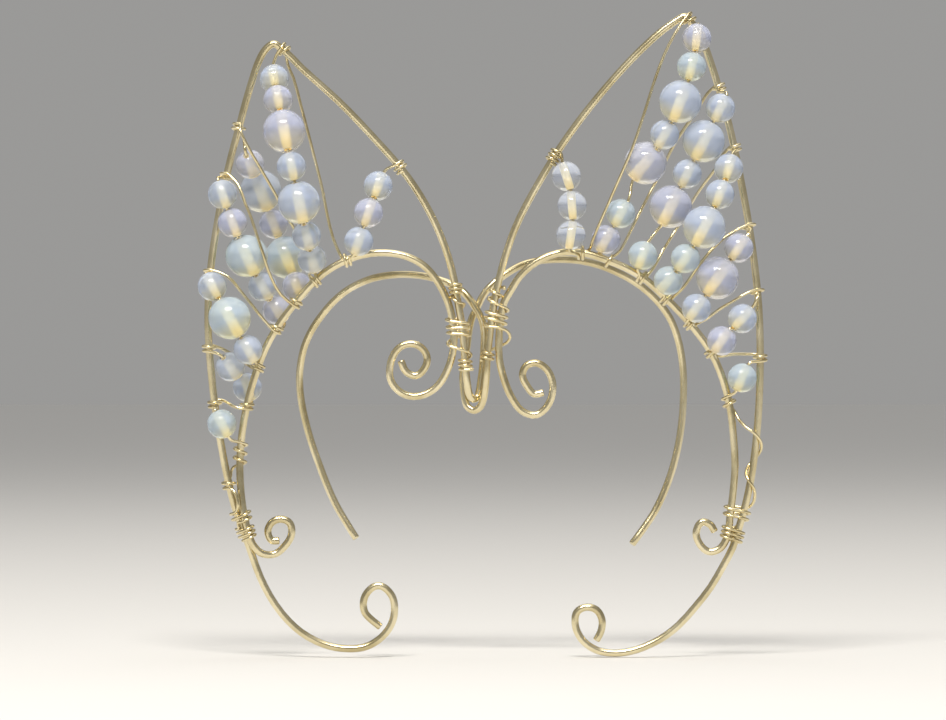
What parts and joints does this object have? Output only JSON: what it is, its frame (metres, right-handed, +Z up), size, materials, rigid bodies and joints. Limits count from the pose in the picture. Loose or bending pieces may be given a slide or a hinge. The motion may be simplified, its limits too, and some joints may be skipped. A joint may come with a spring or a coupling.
{
  "type": "wire-wrapped fairy wing ear cuffs",
  "caption": "Pair of costume ear cuffs shaped as small fairy wings: bent wire frames with ear hooks and scrolls, strung with strands of milky glass beads.",
  "frame": {"origin": "the point where the two ear hooks cross, by which the pair hangs", "axes": "+X to the right across the pair seen from the front, +Y to the back, towards the wearer's head, +Z up to the wing tips"},
  "size_m": [0.0769, 0.0239, 0.0872],
  "materials": {
    "shaping_wire": "satin, silver-plated craft wire with a pale champagne tone",
    "fine_wire": "satin, silver-plated craft wire, finer gauge",
    "small_beads": "polished milky opal glass",
    "large_beads": "polished milky opal glass",
    "clear_beads": "polished, almost clear opal glass"
  },
  "bodies": {
    "right_cuff": {"right_frame_wire": "shaping_wire", "right_arc_wire": "shaping_wire", "right_bead_wire": "fine_wire", "right_tie_wire": "fine_wire"},
    "left_cuff": {"left_frame_wire": "shaping_wire", "left_arc_wire": "shaping_wire", "left_bead_wire": "fine_wire", "left_tie_wire": "fine_wire"},
    "left_strand1_bead1": {"left_strand1_bead1": "small_beads"},
    "left_strand1_bead2": {"left_strand1_bead2": "small_beads"},
    "left_strand1_bead3": {"left_strand1_bead3": "small_beads"},
    "left_strand2_bead1": {"left_strand2_bead1": "small_beads"},
    "left_strand2_bead2": {"left_strand2_bead2": "small_beads"},
    "left_strand2_bead3": {"left_strand2_bead3": "large_beads"},
    "left_strand2_bead4": {"left_strand2_bead4": "small_beads"},
    "left_strand2_bead5": {"left_strand2_bead5": "large_beads"},
    "left_strand2_bead6": {"left_strand2_bead6": "small_beads"},
    "left_strand2_bead7": {"left_strand2_bead7": "small_beads"},
    "left_strand3_bead1": {"left_strand3_bead1": "small_beads"},
    "left_strand3_bead2": {"left_strand3_bead2": "large_beads"},
    "left_strand3_bead3": {"left_strand3_bead3": "small_beads"},
    "left_strand3_bead4": {"left_strand3_bead4": "large_beads"},
    "left_strand3_bead5": {"left_strand3_bead5": "small_beads"},
    "left_strand4_bead1": {"left_strand4_bead1": "small_beads"},
    "left_strand4_bead2": {"left_strand4_bead2": "small_beads"},
    "left_strand4_bead3": {"left_strand4_bead3": "large_beads"},
    "left_strand4_bead4": {"left_strand4_bead4": "small_beads"},
    "left_strand4_bead5": {"left_strand4_bead5": "small_beads"},
    "left_strand5_bead1": {"left_strand5_bead1": "small_beads"},
    "left_strand5_bead2": {"left_strand5_bead2": "large_beads"},
    "left_strand5_bead3": {"left_strand5_bead3": "small_beads"},
    "left_strand6_bead1": {"left_strand6_bead1": "small_beads"},
    "left_strand6_bead2": {"left_strand6_bead2": "small_beads"},
    "left_strand7_bead1": {"left_strand7_bead1": "small_beads"},
    "right_strand1_bead1": {"right_strand1_bead1": "clear_beads"},
    "right_strand1_bead2": {"right_strand1_bead2": "clear_beads"},
    "right_strand1_bead3": {"right_strand1_bead3": "clear_beads"},
    "right_strand2_bead1": {"right_strand2_bead1": "small_beads"},
    "right_strand2_bead2": {"right_strand2_bead2": "small_beads"},
    "right_strand2_bead3": {"right_strand2_bead3": "large_beads"},
    "right_strand2_bead4": {"right_strand2_bead4": "small_beads"},
    "right_strand2_bead5": {"right_strand2_bead5": "large_beads"},
    "right_strand2_bead6": {"right_strand2_bead6": "small_beads"},
    "right_strand2_bead7": {"right_strand2_bead7": "small_beads"},
    "right_strand3_bead1": {"right_strand3_bead1": "small_beads"},
    "right_strand3_bead2": {"right_strand3_bead2": "large_beads"},
    "right_strand3_bead3": {"right_strand3_bead3": "small_beads"},
    "right_strand3_bead4": {"right_strand3_bead4": "large_beads"},
    "right_strand3_bead5": {"right_strand3_bead5": "small_beads"},
    "right_strand4_bead1": {"right_strand4_bead1": "small_beads"},
    "right_strand4_bead2": {"right_strand4_bead2": "small_beads"},
    "right_strand4_bead3": {"right_strand4_bead3": "large_beads"},
    "right_strand4_bead4": {"right_strand4_bead4": "small_beads"},
    "right_strand4_bead5": {"right_strand4_bead5": "small_beads"},
    "right_strand5_bead1": {"right_strand5_bead1": "small_beads"},
    "right_strand5_bead2": {"right_strand5_bead2": "large_beads"},
    "right_strand5_bead3": {"right_strand5_bead3": "small_beads"},
    "right_strand6_bead1": {"right_strand6_bead1": "small_beads"},
    "right_strand6_bead2": {"right_strand6_bead2": "small_beads"},
    "right_strand7_bead1": {"right_strand7_bead1": "small_beads"}
  },
  "joints": [
    {"name": "left_cuff_lift", "type": "slide", "parent": "right_cuff", "child": "left_cuff", "axis": [0, 0, 1], "range_m": [0, 0.04]},
    {"name": "left_strand1_bead1_spin", "type": "hinge", "parent": "left_cuff", "child": "left_strand1_bead1", "pos_m": [-0.0131, -0.0009, 0.0163], "axis": [-0.2987, -0.4105, -0.8616], "continuous": true},
    {"name": "left_strand1_bead2_spin", "type": "hinge", "parent": "left_cuff", "child": "left_strand1_bead2", "pos_m": [-0.01438, -0.002, 0.01262], "axis": [-0.325, -0.125, -0.9374], "continuous": true},
    {"name": "left_strand1_bead3_spin", "type": "hinge", "parent": "left_cuff", "child": "left_strand1_bead3", "pos_m": [-0.0157, -0.0019, 0.0088], "axis": [-0.3227, 0.1715, -0.9308], "continuous": true},
    {"name": "left_strand2_bead1_spin", "type": "hinge", "parent": "left_cuff", "child": "left_strand2_bead1", "pos_m": [-0.0271, -0.0012, 0.0307], "axis": [0.1338, -0.7586, -0.6377], "continuous": true},
    {"name": "left_strand2_bead2_spin", "type": "hinge", "parent": "left_cuff", "child": "left_strand2_bead2", "pos_m": [-0.02649, -0.00393, 0.02777], "axis": [0.1673, -0.5804, -0.797], "continuous": true},
    {"name": "left_strand2_bead3_spin", "type": "hinge", "parent": "left_cuff", "child": "left_strand2_bead3", "pos_m": [-0.02558, -0.00618, 0.02346], "axis": [0.1947, -0.3181, -0.9279], "continuous": true},
    {"name": "left_strand2_bead4_spin", "type": "hinge", "parent": "left_cuff", "child": "left_strand2_bead4", "pos_m": [-0.02458, -0.00704, 0.0187], "axis": [0.2053, -0.0282, -0.9783], "continuous": true},
    {"name": "left_strand2_bead5_spin", "type": "hinge", "parent": "left_cuff", "child": "left_strand2_bead5", "pos_m": [-0.02357, -0.00645, 0.0139], "axis": [0.1981, 0.2642, -0.9439], "continuous": true},
    {"name": "left_strand2_bead6_spin", "type": "hinge", "parent": "left_cuff", "child": "left_strand2_bead6", "pos_m": [-0.02265, -0.00446, 0.00947], "axis": [0.1737, 0.5336, -0.8277], "continuous": true},
    {"name": "left_strand2_bead7_spin", "type": "hinge", "parent": "left_cuff", "child": "left_strand2_bead7", "pos_m": [-0.022, -0.0019, 0.0064], "axis": [0.1424, 0.7206, -0.6785], "continuous": true},
    {"name": "left_strand3_bead1_spin", "type": "hinge", "parent": "left_cuff", "child": "left_strand3_bead1", "pos_m": [-0.0305, 0.0011, 0.0193], "axis": [0.2234, 0.7796, -0.5851], "continuous": true},
    {"name": "left_strand3_bead2_spin", "type": "hinge", "parent": "left_cuff", "child": "left_strand3_bead2", "pos_m": [-0.02915, 0.00424, 0.01575], "axis": [0.3153, 0.4676, -0.8258], "continuous": true},
    {"name": "left_strand3_bead3_spin", "type": "hinge", "parent": "left_cuff", "child": "left_strand3_bead3", "pos_m": [-0.02746, 0.00561, 0.01133], "axis": [0.3556, 0.079, -0.9313], "continuous": true},
    {"name": "left_strand3_bead4_spin", "type": "hinge", "parent": "left_cuff", "child": "left_strand3_bead4", "pos_m": [-0.02571, 0.005, 0.00677], "axis": [0.3376, -0.3225, -0.8843], "continuous": true},
    {"name": "left_strand3_bead5_spin", "type": "hinge", "parent": "left_cuff", "child": "left_strand3_bead5", "pos_m": [-0.0242, 0.0025, 0.0028], "axis": [0.2644, -0.6712, -0.6925], "continuous": true},
    {"name": "left_strand4_bead1_spin", "type": "hinge", "parent": "left_cuff", "child": "left_strand4_bead1", "pos_m": [-0.034, -0.0028, 0.0151], "axis": [0.2996, 0.0836, -0.9504], "continuous": true},
    {"name": "left_strand4_bead2_spin", "type": "hinge", "parent": "left_cuff", "child": "left_strand4_bead2", "pos_m": [-0.03269, -0.00226, 0.0113], "axis": [0.3464, 0.181, -0.9204], "continuous": true},
    {"name": "left_strand4_bead3_spin", "type": "hinge", "parent": "left_cuff", "child": "left_strand4_bead3", "pos_m": [-0.03084, -0.00108, 0.00686], "axis": [0.3977, 0.2969, -0.8682], "continuous": true},
    {"name": "left_strand4_bead4_spin", "type": "hinge", "parent": "left_cuff", "child": "left_strand4_bead4", "pos_m": [-0.02875, 0.00067, 0.00271], "axis": [0.4415, 0.4071, -0.7996], "continuous": true},
    {"name": "left_strand4_bead5_spin", "type": "hinge", "parent": "left_cuff", "child": "left_strand4_bead5", "pos_m": [-0.0269, 0.0025, -0.0004], "axis": [0.4711, 0.4918, -0.7322], "continuous": true},
    {"name": "left_strand5_bead1_spin", "type": "hinge", "parent": "left_cuff", "child": "left_strand5_bead1", "pos_m": [-0.0354, -0.0027, 0.0027], "axis": [0.4682, -0.3053, -0.8292], "continuous": true},
    {"name": "left_strand5_bead2_spin", "type": "hinge", "parent": "left_cuff", "child": "left_strand5_bead2", "pos_m": [-0.033, -0.00346, -0.00155], "axis": [0.4917, 0, -0.8708], "continuous": true},
    {"name": "left_strand5_bead3_spin", "type": "hinge", "parent": "left_cuff", "child": "left_strand5_bead3", "pos_m": [-0.0306, -0.0027, -0.0058], "axis": [0.4682, 0.3053, -0.8292], "continuous": true},
    {"name": "left_strand6_bead1_spin", "type": "hinge", "parent": "left_cuff", "child": "left_strand6_bead1", "pos_m": [-0.0331, -0.0003, -0.0081], "axis": [0.4637, 0.6029, -0.6492], "continuous": true},
    {"name": "left_strand6_bead2_spin", "type": "hinge", "parent": "left_cuff", "child": "left_strand6_bead2", "pos_m": [-0.0309, 0.0027, -0.0109], "axis": [0.3158, 0.0526, -0.9474], "continuous": true},
    {"name": "left_strand7_bead1_spin", "type": "hinge", "parent": "left_cuff", "child": "left_strand7_bead1", "pos_m": [-0.0341, -0.0027, -0.0158], "axis": [0.4467, 0.0496, -0.8933], "continuous": true},
    {"name": "right_strand1_bead1_spin", "type": "hinge", "parent": "right_cuff", "child": "right_strand1_bead1", "pos_m": [0.0123, -0.0009, 0.0176], "axis": [0.2931, -0.0848, -0.9523], "continuous": true},
    {"name": "right_strand1_bead2_spin", "type": "hinge", "parent": "right_cuff", "child": "right_strand1_bead2", "pos_m": [0.01305, -0.00125, 0.01363], "axis": [0.0745, -0.0869, -0.9934], "continuous": true},
    {"name": "right_strand1_bead3_spin", "type": "hinge", "parent": "right_cuff", "child": "right_strand1_bead3", "pos_m": [0.0129, -0.0016, 0.0096], "axis": [-0.1477, -0.0848, -0.9854], "continuous": true},
    {"name": "right_strand2_bead1_spin", "type": "hinge", "parent": "right_cuff", "child": "right_strand2_bead1", "pos_m": [0.0298, -0.0027, 0.0361], "axis": [-0.1235, -0.3128, -0.9417], "continuous": true},
    {"name": "right_strand2_bead2_spin", "type": "hinge", "parent": "right_cuff", "child": "right_strand2_bead2", "pos_m": [0.02906, -0.00361, 0.03222], "axis": [-0.2389, -0.1326, -0.962], "continuous": true},
    {"name": "right_strand2_bead3_spin", "type": "hinge", "parent": "right_cuff", "child": "right_strand2_bead3", "pos_m": [0.02756, -0.0037, 0.02751], "axis": [-0.3643, 0.0951, -0.9264], "continuous": true},
    {"name": "right_strand2_bead4_spin", "type": "hinge", "parent": "right_cuff", "child": "right_strand2_bead4", "pos_m": [0.02549, -0.00267, 0.02314], "axis": [-0.4647, 0.3163, -0.8271], "continuous": true},
    {"name": "right_strand2_bead5_spin", "type": "hinge", "parent": "right_cuff", "child": "right_strand2_bead5", "pos_m": [0.023, -0.0006, 0.0194], "axis": [-0.5331, 0.5156, -0.6708], "continuous": true},
    {"name": "right_strand2_bead6_spin", "type": "hinge", "parent": "right_cuff", "child": "right_strand2_bead6", "pos_m": [0.0197, 0.0002, 0.0126], "axis": [-0.4907, 0.1472, -0.8588], "continuous": true},
    {"name": "right_strand2_bead7_spin", "type": "hinge", "parent": "right_cuff", "child": "right_strand2_bead7", "pos_m": [0.0177, 0.0008, 0.0091], "axis": [-0.4907, 0.1472, -0.8588], "continuous": true},
    {"name": "right_strand3_bead1_spin", "type": "hinge", "parent": "right_cuff", "child": "right_strand3_bead1", "pos_m": [0.033, -0.0027, 0.0267], "axis": [-0.4428, 0.1409, -0.8855], "continuous": true},
    {"name": "right_strand3_bead2_spin", "type": "hinge", "parent": "right_cuff", "child": "right_strand3_bead2", "pos_m": [0.0308, -0.002, 0.0223], "axis": [-0.4428, 0.1409, -0.8855], "continuous": true},
    {"name": "right_strand3_bead3_spin", "type": "hinge", "parent": "right_cuff", "child": "right_strand3_bead3", "pos_m": [0.0286, -0.0013, 0.0179], "axis": [-0.4428, 0.1409, -0.8855], "continuous": true},
    {"name": "right_strand3_bead4_spin", "type": "hinge", "parent": "right_cuff", "child": "right_strand3_bead4", "pos_m": [0.0264, -0.0006, 0.0135], "axis": [-0.4428, 0.1409, -0.8855], "continuous": true},
    {"name": "right_strand3_bead5_spin", "type": "hinge", "parent": "right_cuff", "child": "right_strand3_bead5", "pos_m": [0.0226, -0.0009, 0.0069], "axis": [-0.3605, -0.103, -0.927], "continuous": true},
    {"name": "right_strand4_bead1_spin", "type": "hinge", "parent": "right_cuff", "child": "right_strand4_bead1", "pos_m": [0.0341, -0.0026, 0.0186], "axis": [-0.2485, -0.4777, -0.8426], "continuous": true},
    {"name": "right_strand4_bead2_spin", "type": "hinge", "parent": "right_cuff", "child": "right_strand4_bead2", "pos_m": [0.03285, -0.00411, 0.01506], "axis": [-0.3633, -0.2641, -0.8935], "continuous": true},
    {"name": "right_strand4_bead3_spin", "type": "hinge", "parent": "right_cuff", "child": "right_strand4_bead3", "pos_m": [0.03076, -0.00473, 0.01062], "axis": [-0.4726, 0.0175, -0.8811], "continuous": true},
    {"name": "right_strand4_bead4_spin", "type": "hinge", "parent": "right_cuff", "child": "right_strand4_bead4", "pos_m": [0.02823, -0.00394, 0.00645], "axis": [-0.5388, 0.2975, -0.7882], "continuous": true},
    {"name": "right_strand4_bead5_spin", "type": "hinge", "parent": "right_cuff", "child": "right_strand4_bead5", "pos_m": [0.026, -0.0023, 0.0035], "axis": [-0.5564, 0.5076, -0.6579], "continuous": true},
    {"name": "right_strand5_bead1_spin", "type": "hinge", "parent": "right_cuff", "child": "right_strand5_bead1", "pos_m": [0.0355, -0.0019, 0.0079], "axis": [-0.5719, -0.1113, -0.8127], "continuous": true},
    {"name": "right_strand5_bead2_spin", "type": "hinge", "parent": "right_cuff", "child": "right_strand5_bead2", "pos_m": [0.03265, -0.00225, 0.00385], "axis": [-0.5752, -0.0303, -0.8174], "continuous": true},
    {"name": "right_strand5_bead3_spin", "type": "hinge", "parent": "right_cuff", "child": "right_strand5_bead3", "pos_m": [0.0298, -0.0022, -0.0002], "axis": [-0.5747, 0.051, -0.8167], "continuous": true},
    {"name": "right_strand6_bead1_spin", "type": "hinge", "parent": "right_cuff", "child": "right_strand6_bead1", "pos_m": [0.036, -0.0016, -0.0016], "axis": [-0.666, -0.2049, -0.7172], "continuous": true},
    {"name": "right_strand6_bead2_spin", "type": "hinge", "parent": "right_cuff", "child": "right_strand6_bead2", "pos_m": [0.0332, -0.0021, -0.0046], "axis": [-0.5774, 0.1155, -0.8083], "continuous": true},
    {"name": "right_strand7_bead1_spin", "type": "hinge", "parent": "right_cuff", "child": "right_strand7_bead1", "pos_m": [0.036, -0.0012, -0.0096], "axis": [-0.4002, 0.0572, -0.9147], "continuous": true}
  ]
}
